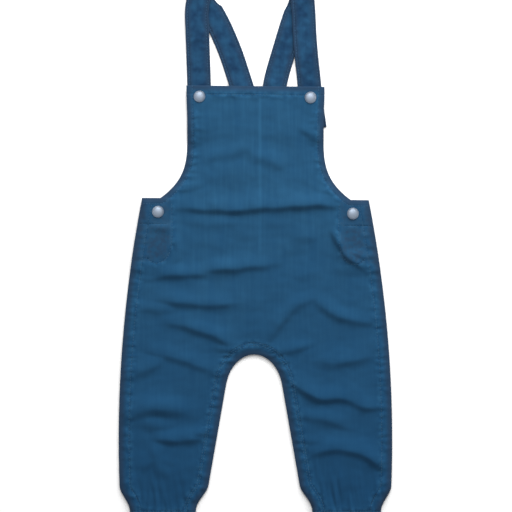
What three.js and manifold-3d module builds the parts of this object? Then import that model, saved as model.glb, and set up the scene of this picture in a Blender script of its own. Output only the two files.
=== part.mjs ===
// Kids' dungarees, buttoned up and laid flat on their back: one front panel and one back panel,
// each cut in one piece with its legs, two shoulder straps, an underlap at each side opening
// and four press studs. Each press stud is a cap unit in the front and a stud unit beneath it.
//
// Millimetres. Garment coordinates: x to the right of the middle, y up from the top of the
// crotch towards the shoulders, z up from the floor. The group is then moved so that its origin
// is the middle of its footprint, on the floor.
import * as THREE from "three";
import { mergeVertices } from "three/addons/utils/BufferGeometryUtils.js";
import Module from "manifold-3d";

const wasm = await Module();
wasm.setup();

// ---------------------------------------------------------------- driving sizes
const CLOTH = 1.2; // thickness of one layer
const GAP = 0.3; // between pieces that touch
const LEVEL = { bibTop: 295, sideTop: 171, gatherTop: -118, narrowBelow: -144, cuffTop: -172, hem: -190 };
const HIP = { y: -94, half: 150.3 }; // the widest place of the side seams
const WAIST_HALF = 124.5; // half the width at the side openings' top
const CUFF = { outer: 138, inner: 64 }; // the gathered leg end, from the middle
const CROTCH = { half: 25, depth: 36, flare: 0.175, offset: -1.5, straightBy: 120 };
const BIB = { half: 75, flare: 0.9, armholeTop: 240, armholeFoot: 104.5, sweep: 3.2 };
const BACK = { top: 282, half: 28, shift: 3 };
const TILT = 0.01; // how far the right side lies lower than the left, per mm
const STRAP = { width: 26, thick: 1.8, roll: 2.2, bulge: 1.6, skewWithin: 6, squareBeyond: 34 };
const PLACKET = { width: 30, bottom: 97, inset: 2.5, slope: 13 };
const SNAP = { capRadius: 6.5, shank: 1.9, socketRadius: 4.8, socket: 1.4, cavity: 2.7, sides: 14 };
const PLATE = { radius: 5, thick: 0.5, shank: 1.5, head: 2.4, headHeight: 0.6 };
const PLATEAU = { flat: 10.5, reach: 24 }; // cloth is level round a press stud, then falls away

const SEAM_Z = CLOTH + GAP + CLOTH / 2; // middle of the front cloth where it lies on the back
const PUFF = { height: 1.3, reach: 22 }; // how far the front stands up between its seams
const FOLD_FADE = 9; // folds die away over this distance before a seam
const PLEAT = 1.5; // height of a gather in a leg end
const OVER_BACK_EDGE = { from: -26, to: -4 }; // the bib climbs onto the back bib over this distance
const OVER_TAIL = { from: 226, to: 252 }; // and onto the strap tails between these levels
const BACK_SHARE = 0.35; // the back panel follows the front's folds by this share
const LOW_FOLD = 0.12; // a share of a fold lower than this leaves the back panel flat on the floor

// Stack heights at the press studs, from the floor to the middle of each layer.
const BIB_STRAP_Z = PLATE.thick + GAP + STRAP.thick / 2;
const BIB_CLOTH_Z = BIB_STRAP_Z + STRAP.thick / 2 + GAP + SNAP.socket + GAP + CLOTH / 2;
const UNDERLAP_Z = CLOTH + GAP + CLOTH / 2;
const SIDE_UNDERLAP_Z = CLOTH + GAP + PLATE.thick + GAP + CLOTH / 2;
const SIDE_CLOTH_Z = SIDE_UNDERLAP_Z + CLOTH / 2 + GAP + SNAP.socket + GAP + CLOTH / 2;

const SNAPS = [
  { name: "bib", side: -1, x: 61.5, y: 283, z: BIB_CLOTH_Z, under: BIB_STRAP_Z, layer: STRAP.thick },
  { name: "bib", side: 1, x: 60.5, y: 283, z: BIB_CLOTH_Z, under: BIB_STRAP_Z, layer: STRAP.thick },
  { name: "side", side: -1, x: 107, y: 156, z: SIDE_CLOTH_Z, under: SIDE_UNDERLAP_Z, layer: CLOTH },
  { name: "side", side: 1, x: 107, y: 156, z: SIDE_CLOTH_Z, under: SIDE_UNDERLAP_Z, layer: CLOTH },
];

// The largest folds: each runs from (x0, y0) to (x1, y1), bowed sideways in its middle, with its
// crest just above that line, a long slope on the upper side and a short one on the lower.
const FOLD_COLUMNS = ["name", "x0", "y0", "x1", "y1", "bow", "height", "upper", "lower"];
const FOLDS = [
  ["waist_left", -88, 157, 0, 156, -2, 3.3, 13, 6],
  ["waist_right", 0, 157, 92, 160, 1, 3.3, 13, 6],
  ["belly_outer", -108, 80, -50, 85, 0, 2.4, 11, 6],
  ["belly_inner", -48, 88, 12, 95, -1, 2.6, 11, 6],
  ["hip_left", -98, 56, -28, 50, 0, 2.5, 11, 6],
  ["groin_left", -92, 30, -26, 4, 2, 2.6, 10, 6],
  ["thigh_left", -106, -2, -40, -26, 3, 2.2, 11, 6],
  ["knee_left", -146, -73, -72, -71, 5, 2.8, 13, 7],
  ["shin_left", -100, -97, -60, -95, 0, 2.8, 10, 6],
  ["groin_right", 20, 18, 66, 60, 3, 2.4, 10, 6],
  ["hip_right", 66, 59, 134, 33, -6, 2.2, 10, 6],
  ["thigh_right", 62, -12, 134, -4, -5, 2.2, 12, 6],
  ["knee_inner", 32, -34, 92, -54, -3, 3.0, 12, 6],
  ["knee_outer", 88, -52, 144, -61, 3, 3.0, 12, 6],
  ["ankle_right", 74, -110, 134, -126, 9, 3.3, 12, 6],
  ["bib_left", -50, 208, 2, 213, 5, 1.6, 10, 7],
  ["bib_right", 0, 212, 32, 203, -1, 1.6, 10, 7],
  ["placket_right", 82, 136, 108, 97, -2, 1.8, 7, 5],
].map((row) => Object.fromEntries(row.map((value, i) => [FOLD_COLUMNS[i], value])));

// Each strap from its sewn end on the back panel, up to its roll over the shoulder, and down to
// its tail beneath the bib: the middle of its cloth.
const path = (rows) => rows.map(([x, y, z]) => new THREE.Vector3(x, y, z));
const OVER_BACK = CLOTH + GAP + STRAP.thick / 2; // a strap lying on the back panel
const ON_FLOOR = STRAP.thick / 2;
const OVER_STRAP = STRAP.thick + 2 * GAP + STRAP.thick / 2; // a strap lying on a strap
const STRAPS = [
  {
    name: "strap_left",
    crease: -0.2,
    back: path([
      [-6.5, 264, OVER_BACK], [-10.5, 280, OVER_BACK], [-14.3, 292, OVER_BACK], [-20, 310, ON_FLOOR],
      [-29, 336, ON_FLOOR], [-43, 367, ON_FLOOR], [-61.5, 397, ON_FLOOR],
    ]),
    front: path([
      [-61.5, 397, ON_FLOOR + 2 * STRAP.roll], [-64.5, 376, OVER_STRAP + 0.6], [-63.8, 352, OVER_STRAP],
      [-63, 328, 1.9], [-62.3, 308, 1.2], [-62, 297, 1.3], [-61.5, 283, BIB_STRAP_Z], [-61.2, 268, 1.3],
      [-60.8, 250, 1.0],
    ]),
  },
  {
    name: "strap_right",
    crease: 0.24,
    back: path([
      [21.5, 264, OVER_BACK], [19.5, 280, OVER_BACK], [20.6, 292, OVER_BACK], [24.4, 310, ON_FLOOR],
      [32, 336, ON_FLOOR], [41.5, 367, ON_FLOOR], [51.5, 395, ON_FLOOR],
    ]),
    front: path([
      [51.5, 395, ON_FLOOR + 2 * STRAP.roll], [53, 374, OVER_STRAP + 0.6], [54.2, 350, OVER_STRAP],
      [56, 328, OVER_STRAP], [58.2, 308, 1.8], [59.3, 297, 1.4], [60.5, 283, BIB_STRAP_Z],
      [63, 266, 1.3], [65.4, 249, 1.0],
    ]),
  },
];

// ---------------------------------------------------------------- small helpers
const ramp = (from, to, value) => THREE.MathUtils.smoothstep(value, from, to);
const mix = THREE.MathUtils.lerp;
const lay = (x, y) => y - TILT * x * ramp(0, 150, y);
const spread = (from, to, steps) => Array.from({ length: steps }, (_, i) => mix(from, to, i / steps));

// ---------------------------------------------------------------- the cut of the panels
const drawnIn = (y) => 1 - ramp(LEVEL.cuffTop, LEVEL.narrowBelow, y);

function sideSeam(y) {
  const taper = (y - HIP.y) / (LEVEL.sideTop - HIP.y);
  const half = HIP.half - (HIP.half - WAIST_HALF) * taper ** 2;
  return mix(half, CUFF.outer, drawnIn(y));
}

const middle = (y) => CROTCH.offset * (1 - ramp(0, CROTCH.straightBy, y));

// Distance of the inner edge from the middle: the rounded crotch, then the flaring inside leg.
function innerEdge(y) {
  if (y >= 0) return 0;
  const arch = 1 - Math.min(-y / CROTCH.depth, 1);
  const half = CROTCH.half * Math.sqrt(1 - arch ** 2.5) - CROTCH.flare * y;
  return mix(half, CUFF.inner, drawnIn(y));
}

function bibEdge(y) {
  const drop = THREE.MathUtils.clamp((BIB.armholeTop - y) / (BIB.armholeTop - LEVEL.sideTop), 0, 1);
  return BIB.half + (BIB.armholeFoot - BIB.half) * drop ** BIB.sweep + BIB.flare * ramp(255, 290, y);
}

function backEdge(y) {
  const rise = (BACK.top - y) / (BACK.top - LEVEL.sideTop);
  return BIB.armholeFoot - (BIB.armholeFoot - BACK.half) * Math.sqrt(Math.max(0, 1 - rise ** 2));
}

// ---------------------------------------------------------------- how the cloth lies
function foldHeight(fold, x, y) {
  const dx = fold.x1 - fold.x0;
  const dy = fold.y1 - fold.y0;
  const length = Math.hypot(dx, dy);
  const along = ((x - fold.x0) * dx + (y - fold.y0) * dy) / length ** 2;
  const bow = fold.bow * 4 * along * (1 - along);
  const across = ((y - fold.y0) * dx - (x - fold.x0) * dy) / length - bow - fold.lower;
  const ends = ramp(-0.12, 0.25, along) * (1 - ramp(0.75, 1.12, along));
  return fold.height * ends * Math.exp(-((across / (across > 0 ? fold.upper : fold.lower)) ** 2));
}

const folds = (x, y) => FOLDS.reduce((sum, fold) => Math.max(sum, foldHeight(fold, x, y)), 0);

// How near a point is to a seam or edge of a panel, as the shortest way straight across or up.
function fromEdge(x, y, outer) {
  const inward = Math.abs(x - middle(y)) - innerEdge(y);
  const crotch = y > 0 ? Math.hypot(Math.max(0, Math.abs(x - CROTCH.offset) - 8), y) : inward;
  return Math.max(0, Math.min(outer(y) - Math.abs(x), crotch, y - LEVEL.hem));
}

const gather = (y) => 1 - ramp(LEVEL.cuffTop, LEVEL.gatherTop, y);
const onPlacket = (x, y) => {
  const inner = WAIST_HALF - PLACKET.width;
  const below = PLACKET.bottom;
  return ramp(inner - PLACKET.slope, inner, Math.abs(x)) * ramp(below - PLACKET.slope, below, y);
};

// Middle of the front cloth: what lies beneath it, how it puffs between the seams, its folds,
// the gathers of its leg ends, and the level places round the press studs.
function frontHeight(x, y, column) {
  const outer = y > LEVEL.sideTop ? bibEdge : sideSeam;
  const edge = fromEdge(x, y, outer);
  const within = backEdge(y) - Math.abs(x - BACK.shift);
  const onBack = y > LEVEL.sideTop ? ramp(OVER_BACK_EDGE.from, OVER_BACK_EDGE.to, within) : 1;
  const onStraps = ramp(OVER_TAIL.from, OVER_TAIL.to, y);
  const resting = mix(CLOTH / 2, SEAM_Z, onBack);
  const lifted = Math.max(
    mix(resting, CLOTH + GAP + STRAP.thick + GAP + CLOTH / 2, onStraps),
    mix(resting, UNDERLAP_Z + CLOTH + GAP, onPlacket(x, y)),
  );
  const puff = PUFF.height * (1 - Math.exp(-edge / PUFF.reach)) * (1 - gather(y));
  const rise = folds(x, y) * ramp(0, FOLD_FADE, edge);
  const pleat = gather(y) * (column % 2 ? PLEAT : 0);
  return toSnaps(x, y, lifted + puff + rise + pleat, "z");
}

function toSnaps(x, y, height, key) {
  return SNAPS.reduce((z, snap) => {
    const away = Math.hypot(x - snap.side * snap.x, y - snap.y);
    return mix(snap[key], z, ramp(PLATEAU.flat, PLATEAU.reach, away));
  }, height);
}

function backHeight(x, y) {
  const edge = fromEdge(x, y, y > LEVEL.sideTop ? backEdge : sideSeam);
  const rise = folds(x, y) * ramp(0, FOLD_FADE, edge) * (1 - onPlacket(x, y));
  return CLOTH / 2 + Math.max(0, BACK_SHARE * rise - LOW_FOLD);
}

// ---------------------------------------------------------------- from sheets to solids
// A sheet as a closed wall: its faces moved out to both sides along the surface's normals, with
// a strip round each free edge.
function wall(points, triangles, thickness) {
  const sheet = new THREE.BufferGeometry();
  sheet.setAttribute("position", new THREE.Float32BufferAttribute(points.flat(), 3));
  sheet.setIndex(triangles.flat());
  const welded = mergeVertices(sheet, 1e-4);
  welded.computeVertexNormals();
  const { position, normal } = welded.attributes;
  const count = position.count;
  const out = new Float32Array(count * 6);
  for (let i = 0; i < count; i++) {
    for (let k = 0; k < 3; k++) {
      const at = position.getComponent(i, k);
      const away = (normal.getComponent(i, k) * thickness) / 2;
      out[i * 3 + k] = at + away;
      out[(count + i) * 3 + k] = at - away;
    }
  }
  const faces = [];
  const free = new Map();
  const index = welded.index.array;
  for (let f = 0; f < index.length; f += 3) {
    const [a, b, c] = index.slice(f, f + 3);
    if (a === b || b === c || c === a) continue;
    faces.push(a, b, c, count + a, count + c, count + b);
    for (const [p, q] of [[a, b], [b, c], [c, a]]) {
      if (!free.delete(q + "_" + p)) free.set(p + "_" + q, [p, q]);
    }
  }
  for (const [p, q] of free.values()) faces.push(p, count + p, q, q, count + p, count + q);
  const solid = new THREE.BufferGeometry();
  solid.setAttribute("position", new THREE.BufferAttribute(out, 3));
  solid.setIndex(faces);
  return solid;
}

const manifold = (geometry) => {
  const bare = new THREE.BufferGeometry().setAttribute("position", geometry.getAttribute("position").clone());
  if (geometry.index) bare.setIndex(geometry.index.clone());
  const merged = mergeVertices(bare, 1e-4);
  return new wasm.Manifold(
    new wasm.Mesh({
      numProp: 3,
      vertProperties: merged.attributes.position.array,
      triVerts: new Uint32Array(merged.index.array),
    }),
  );
};

function geometry(solid) {
  const mesh = solid.getMesh();
  const made = new THREE.BufferGeometry();
  made.setAttribute("position", new THREE.BufferAttribute(Float32Array.from(mesh.vertProperties), 3));
  made.setIndex(new THREE.BufferAttribute(mesh.triVerts, 1));
  made.computeVertexNormals();
  return made;
}

// A round hole straight down through a piece of cloth, for a press stud's shank.
function punch(cloth, x, y, radius) {
  const through = 30;
  const drill = new THREE.CylinderGeometry(radius, radius, through, SNAP.sides).rotateX(Math.PI / 2);
  return geometry(manifold(cloth).subtract(manifold(drill.translate(x, y, 0))));
}

// Both halves of a panel, from sections across the body. A section's columns run from the middle
// or the inside leg out to the side seam, and those past the armhole's foot end at the side top.
function panel({ levels, columns, edge, centre, height, thickness }) {
  const foot = BIB.armholeFoot / WAIST_HALF;
  const across = [...spread(0, foot, columns.main), ...spread(foot, 1, columns.side), 1];
  const points = [];
  const triangles = [];
  for (const side of [-1, 1]) {
    const first = points.length;
    for (const y of levels) {
      const top = y > LEVEL.sideTop;
      const inner = middle(y) * (top ? 0 : 1) + centre(y) + side * innerEdge(y);
      const outer = top ? centre(y) + side * edge(y) : side * sideSeam(y);
      across.forEach((share, column) => {
        const x = mix(inner, outer, top ? Math.min(1, share / foot) : share);
        points.push([x, lay(x, y), height(x, y, column)]);
      });
    }
    const width = across.length;
    for (let row = 0; row + 1 < levels.length; row++) {
      const last = levels[row + 1] > LEVEL.sideTop ? columns.main : width - 1;
      for (let column = 0; column < last; column++) {
        const a = first + row * width + column;
        const [b, c, d] = [a + 1, a + width + 1, a + width];
        const quads = side > 0 ? [[a, b, c], [a, c, d]] : [[a, c, b], [a, d, c]];
        triangles.push(...quads);
      }
    }
  }
  return wall(points, triangles, thickness);
}

// Levels of the sections, from the hem up: close together round the crotch's arch.
function sections(top, step) {
  const archSteps = 6;
  const arch = Array.from({ length: archSteps }, (_, i) => {
    const turn = ((archSteps - i) * Math.PI) / 2 / archSteps;
    return -CROTCH.depth * (1 - Math.cos(turn));
  });
  const stretch = (from, to) => spread(from, to, Math.max(1, Math.round((to - from) / step)));
  return [
    ...stretch(LEVEL.hem, LEVEL.cuffTop), ...stretch(LEVEL.cuffTop, -CROTCH.depth), ...arch,
    ...stretch(0, LEVEL.sideTop), LEVEL.sideTop, ...stretch(LEVEL.sideTop, top).slice(1), top,
  ];
}

// ---------------------------------------------------------------- the pieces
function frontPanel() {
  const cloth = panel({
    levels: sections(LEVEL.bibTop, 7.8),
    columns: { main: 9, side: 2 },
    edge: bibEdge,
    centre: () => 0,
    height: frontHeight,
    thickness: CLOTH,
  });
  return SNAPS.reduce((made, snap) => {
    const x = snap.side * snap.x;
    return punch(made, x, lay(x, snap.y), SNAP.shank + GAP);
  }, cloth);
}

function backPanel() {
  return panel({
    levels: sections(BACK.top, 12),
    columns: { main: 5, side: 1 },
    edge: backEdge,
    centre: (y) => BACK.shift * ramp(LEVEL.sideTop, BACK.top, y),
    height: backHeight,
    thickness: CLOTH,
  });
}

// The strip of the back that runs on beneath the front at a side opening.
function underlap(side) {
  const steps = { up: 8, across: 4 };
  const snap = SNAPS.find((s) => s.name === "side" && s.side === side);
  const points = [];
  const triangles = [];
  for (let row = 0; row <= steps.up; row++) {
    const y = mix(PLACKET.bottom, LEVEL.sideTop - 1, row / steps.up);
    for (let column = 0; column <= steps.across; column++) {
      const x = side * (sideSeam(y) - PLACKET.inset - (PLACKET.width * column) / steps.across);
      points.push([x, lay(x, y), toSnaps(x, y, UNDERLAP_Z, "under")]);
      if (row && column) {
        const a = points.length - 1;
        const [b, c, d] = [a - 1, a - steps.across - 2, a - steps.across - 1];
        triangles.push(...(side > 0 ? [[a, b, c], [a, c, d]] : [[a, c, b], [a, d, c]]));
      }
    }
  }
  const x = side * snap.x;
  return punch(wall(points, triangles, CLOTH), x, lay(x, snap.y), PLATE.shank + GAP);
}

// A strap is a band swept along its middle. Round the roll its sections lie along the crease, so
// that the band turns over without twisting, and further off they lie square to its run.
function strap({ name, crease, back, front }) {
  const steps = { back: 20, roll: 6, front: 26 };
  const fold = new THREE.Vector2(Math.cos(crease), Math.sin(crease));
  const up = new THREE.Vector2(-fold.y, fold.x);
  const shoulder = back[back.length - 1];
  const runs = [
    { curve: new THREE.CatmullRomCurve3(back), count: steps.back },
    { curve: new THREE.CatmullRomCurve3(front), count: steps.front },
  ];
  const stations = runs.map(({ curve, count }) =>
    Array.from({ length: count + 1 }, (_, i) => {
      const at = curve.getPointAt(i / count);
      at.z = Math.max(at.z, ON_FLOOR);
      const run = curve.getTangentAt(i / count);
      return { at, run: new THREE.Vector2(run.x, run.y).normalize() };
    }),
  );
  const roll = Array.from({ length: steps.roll - 1 }, (_, i) => {
    const turn = (Math.PI * (i + 1)) / steps.roll;
    const out = Math.sin(turn) * STRAP.roll * STRAP.bulge;
    const z = shoulder.z + STRAP.roll * (1 - Math.cos(turn));
    return { at: new THREE.Vector3(shoulder.x + up.x * out, shoulder.y + up.y * out, z), turn };
  });
  const ring = ({ at, run, turn }, onTop) => {
    const far = turn === undefined ? ramp(STRAP.skewWithin, STRAP.squareBeyond, at.distanceTo(shoulder)) : 0;
    const square = run ? new THREE.Vector2(run.y, -run.x) : fold;
    if (square.dot(fold) < 0) square.negate();
    const across = fold.clone().lerp(square, far).normalize();
    const width = STRAP.width / 2 / Math.max(0.9, run ? Math.abs(across.dot(square)) : 0.97);
    const side = new THREE.Vector3(across.x, across.y, 0).multiplyScalar(width);
    const facing = turn === undefined ? (onTop ? Math.PI : 0) : turn;
    const normal = new THREE.Vector3(up.x * Math.sin(facing), up.y * Math.sin(facing), -Math.cos(facing));
    normal.multiplyScalar(STRAP.thick / 2);
    return [[1, 1], [-1, 1], [-1, -1], [1, -1]].map(([s, n]) =>
      at.clone().addScaledVector(side, s).addScaledVector(normal, n),
    );
  };
  const rings = [
    ...stations[0].map((s) => ring(s, false)),
    ...roll.map((s) => ring(s, false)),
    ...stations[1].map((s) => ring(s, true)),
  ];
  const tail = SNAPS.find((s) => s.name === "bib" && name.endsWith(s.side < 0 ? "left" : "right"));
  const x = tail.side * tail.x;
  return punch(skin(rings), x, lay(x, tail.y), PLATE.shank + GAP);
}

// Closed skin over a run of four-cornered rings.
function skin(rings) {
  const points = rings.flat().flatMap((p) => [p.x, lay(p.x, p.y), p.z]);
  const faces = [];
  for (let i = 0; i + 1 < rings.length; i++) {
    for (let k = 0; k < 4; k++) {
      const [a, b] = [i * 4 + k, i * 4 + ((k + 1) % 4)];
      faces.push(a, b, b + 4, a, b + 4, a + 4);
    }
  }
  const last = (rings.length - 1) * 4;
  faces.push(0, 2, 1, 0, 3, 2, last, last + 1, last + 2, last, last + 2, last + 3);
  const band = new THREE.BufferGeometry();
  band.setAttribute("position", new THREE.Float32BufferAttribute(points, 3));
  band.setIndex(faces);
  return band;
}

const turned = (profile) =>
  new THREE.LatheGeometry(profile.map(([r, z]) => new THREE.Vector2(r, z)), SNAP.sides).rotateX(Math.PI / 2);

// Outer half of a press stud: domed cap, shank through the cloth, and socket behind it.
function capUnit() {
  const face = CLOTH / 2 + GAP;
  const foot = -face - SNAP.socket;
  return turned([
    [0, foot + 0.9], [SNAP.cavity, foot + 0.9], [SNAP.cavity, foot], [SNAP.socketRadius, foot],
    [SNAP.socketRadius, -face], [SNAP.shank, -face], [SNAP.shank, face], [SNAP.capRadius, face],
    [SNAP.capRadius, face + 0.4], [SNAP.capRadius - 0.7, face + 1.1], [SNAP.capRadius - 2.4, face + 1.7],
    [SNAP.capRadius - 4.4, face + 1.95], [0, face + 2],
  ]);
}

// Inner half: back plate, shank through its layer, and the head that sits in the socket.
function studUnit(layer) {
  const face = layer / 2 + GAP;
  return turned([
    [0, -face - PLATE.thick], [PLATE.radius, -face - PLATE.thick], [PLATE.radius, -face],
    [PLATE.shank, -face], [PLATE.shank, face], [PLATE.head, face], [PLATE.head, face + PLATE.headHeight],
    [0, face + PLATE.headHeight],
  ]);
}

// ---------------------------------------------------------------- materials and assembly
const denim = new THREE.MeshStandardMaterial({ color: 0x28567a, roughness: 0.88, metalness: 0 });
const webbing = new THREE.MeshStandardMaterial({ color: 0x26527a, roughness: 0.88, metalness: 0 });
const nickel = new THREE.MeshStandardMaterial({ color: 0xc9ccd2, roughness: 0.28, metalness: 1 });

const dungarees = new THREE.Group();
const pieces = new THREE.Group();
dungarees.add(pieces);

function add(name, shape, material, x = 0, y = 0, z = 0) {
  const mesh = new THREE.Mesh(shape, material);
  mesh.name = name;
  mesh.position.set(x, y, z);
  pieces.add(mesh);
}

add("front_panel", frontPanel(), denim);
add("back_panel", backPanel(), denim);
for (const side of [-1, 1]) add("underlap_" + (side < 0 ? "left" : "right"), underlap(side), denim);
for (const run of STRAPS) add(run.name, strap(run), webbing);
for (const snap of SNAPS) {
  const x = snap.side * snap.x;
  const tag = snap.name + "_" + (snap.side < 0 ? "left" : "right");
  add(tag + "_cap", capUnit(), nickel, x, lay(x, snap.y), snap.z);
  add(tag + "_stud", studUnit(snap.layer), nickel, x, lay(x, snap.y), snap.under);
}

const box = new THREE.Box3().setFromObject(pieces);
const centre = box.getCenter(new THREE.Vector3());
pieces.position.set(-centre.x, -centre.y, -box.min.z);

export default dungarees;
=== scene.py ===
import math

import bpy
import numpy as np
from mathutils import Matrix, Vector, kdtree, noise
from mathutils.bvhtree import BVHTree


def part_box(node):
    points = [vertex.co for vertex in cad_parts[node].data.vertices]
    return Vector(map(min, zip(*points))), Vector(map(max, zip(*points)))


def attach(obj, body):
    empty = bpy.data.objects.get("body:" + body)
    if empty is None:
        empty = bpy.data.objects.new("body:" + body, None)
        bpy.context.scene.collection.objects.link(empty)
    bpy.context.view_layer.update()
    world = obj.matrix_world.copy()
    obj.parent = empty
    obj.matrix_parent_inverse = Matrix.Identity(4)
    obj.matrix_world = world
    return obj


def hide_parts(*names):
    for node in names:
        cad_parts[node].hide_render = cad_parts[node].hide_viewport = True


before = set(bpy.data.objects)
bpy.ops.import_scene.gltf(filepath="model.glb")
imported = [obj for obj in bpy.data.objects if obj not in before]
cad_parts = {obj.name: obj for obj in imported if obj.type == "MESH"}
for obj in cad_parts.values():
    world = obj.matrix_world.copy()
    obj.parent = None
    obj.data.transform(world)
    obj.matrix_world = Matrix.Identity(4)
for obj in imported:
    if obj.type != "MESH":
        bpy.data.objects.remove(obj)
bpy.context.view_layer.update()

# Kids' dungarees, buttoned up and laid flat on their back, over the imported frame.
# Cloth is worked out in millimetres, in garment coordinates: x to the right of the middle,
# y up from the top of the crotch, z up from the floor. place() moves it into the frame.

bl_info = {
    "name": "Laid-flat dungarees",
    "version": (1, 0, 0),
    "blender": (4, 5, 0),
    "location": "View3D > Sidebar > Dungarees",
    "description": "Cloth, stitching and press studs of dungarees laid flat",
    "category": "Add Mesh",
}

# ---------------------------------------------------------------- sizes of the garment, mm
HEM = -190.0
CUFF_TOP = -172.0
GATHER_TOP = -118.0
NARROW_BELOW = -144.0
SIDE_TOP = 171.0
BIB_TOP = 295.0
HIP_LEVEL, HIP_HALF = -94.0, 150.3
WAIST_HALF = 124.5
CUFF_OUTER, CUFF_INNER = 138.0, 64.0
CROTCH_HALF, CROTCH_DEPTH, CROTCH_FLARE = 25.0, 36.0, 0.175
CROTCH_OFFSET, CROTCH_STRAIGHT_BY = -1.5, 120.0
BIB_HALF, BIB_FLARE = 75.0, 0.9
ARMHOLE_TOP, ARMHOLE_FOOT, ARMHOLE_SWEEP = 240.0, 104.5, 3.2
BACK_TOP, BACK_HALF, BACK_SHIFT = 282.0, 28.0, 3.0
TILT = 0.01
CLOTH = 1.2
GAP = 0.3
STRAP_WIDTH, STRAP_THICK, STRAP_ROLL, STRAP_BULGE = 26.0, 1.8, 2.2, 1.6
PLACKET_WIDTH, PLACKET_BOTTOM, PLACKET_INSET, PLACKET_SLOPE = 30.0, 97.0, 2.5, 13.0
PLATE_THICK, PLATE_RADIUS, POST_SHANK, HEAD, HEAD_HEIGHT = 0.5, 5.0, 1.5, 2.4, 0.6
SOCKET, SOCKET_RADIUS, CAVITY, CAP_SHANK, CAP_RIM, DOME_HEIGHT = 1.4, 4.8, 2.7, 1.9, 0.6, 1.9

# ---------------------------------------------------------------- heights of the layers, mm
SEAM_Z = CLOTH + GAP + CLOTH / 2
PUFF_HEIGHT, PUFF_REACH = 1.3, 22.0
BACK_SHARE, LOW_FOLD = 0.35, 0.12
BIB_STRAP_Z = PLATE_THICK + GAP + STRAP_THICK / 2
BIB_CLOTH_Z = BIB_STRAP_Z + STRAP_THICK / 2 + GAP + SOCKET + GAP + CLOTH / 2
UNDERLAP_Z = CLOTH + GAP + CLOTH / 2
SIDE_UNDERLAP_Z = CLOTH + GAP + PLATE_THICK + GAP + CLOTH / 2
SIDE_CLOTH_Z = SIDE_UNDERLAP_Z + CLOTH / 2 + GAP + SOCKET + GAP + CLOTH / 2
OVER_BACK = CLOTH + GAP + STRAP_THICK / 2
ON_FLOOR = STRAP_THICK / 2
OVER_STRAP = STRAP_THICK + 2 * GAP + STRAP_THICK / 2
OVER_TAIL_Z = CLOTH + GAP + STRAP_THICK + GAP + CLOTH / 2

# Where the front changes height, mm: by how far inside the back panel's edge it is, less than 0
# being outside it, and by its level on the bib.
ON_BACK_EDGE = (-26.0, -4.0)
ON_STRAP_TAIL = (226.0, 252.0)
BIB_CALMS = (216.0, 262.0)
SWELL, SEAM_DIP = 0.9, 0.3

# How close the sheets' points are, and the holes for the press studs' shanks, mm.
FRONT_STEP, FRONT_STEP_QUICK, BACK_STEP, UNDERLAP_STEP, STRAP_STEP = 1.75, 3.2, 3.0, 2.2, 1.7
FRONT_HOLE, UNDERLAP_HOLE, STRAP_HOLE = 2.6, 2.2, 2.4

# The hem of the back panel gives the garment's place in the frame.
SHIFT_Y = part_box("back_panel")[0][1] * 1000 - HEM

STUDS = {
    "bib_left": {"x": -61.5, "y": 283.0, "cloth": BIB_CLOTH_Z, "under": BIB_STRAP_Z, "layer": STRAP_THICK},
    "bib_right": {"x": 60.5, "y": 283.0, "cloth": BIB_CLOTH_Z, "under": BIB_STRAP_Z, "layer": STRAP_THICK},
    "side_left": {"x": -107.0, "y": 156.0, "cloth": SIDE_CLOTH_Z, "under": SIDE_UNDERLAP_Z, "layer": CLOTH},
    "side_right": {"x": 107.0, "y": 156.0, "cloth": SIDE_CLOTH_Z, "under": SIDE_UNDERLAP_Z, "layer": CLOTH},
}
STUD_FLAT, STUD_REACH = 9.5, 20.0

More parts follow.
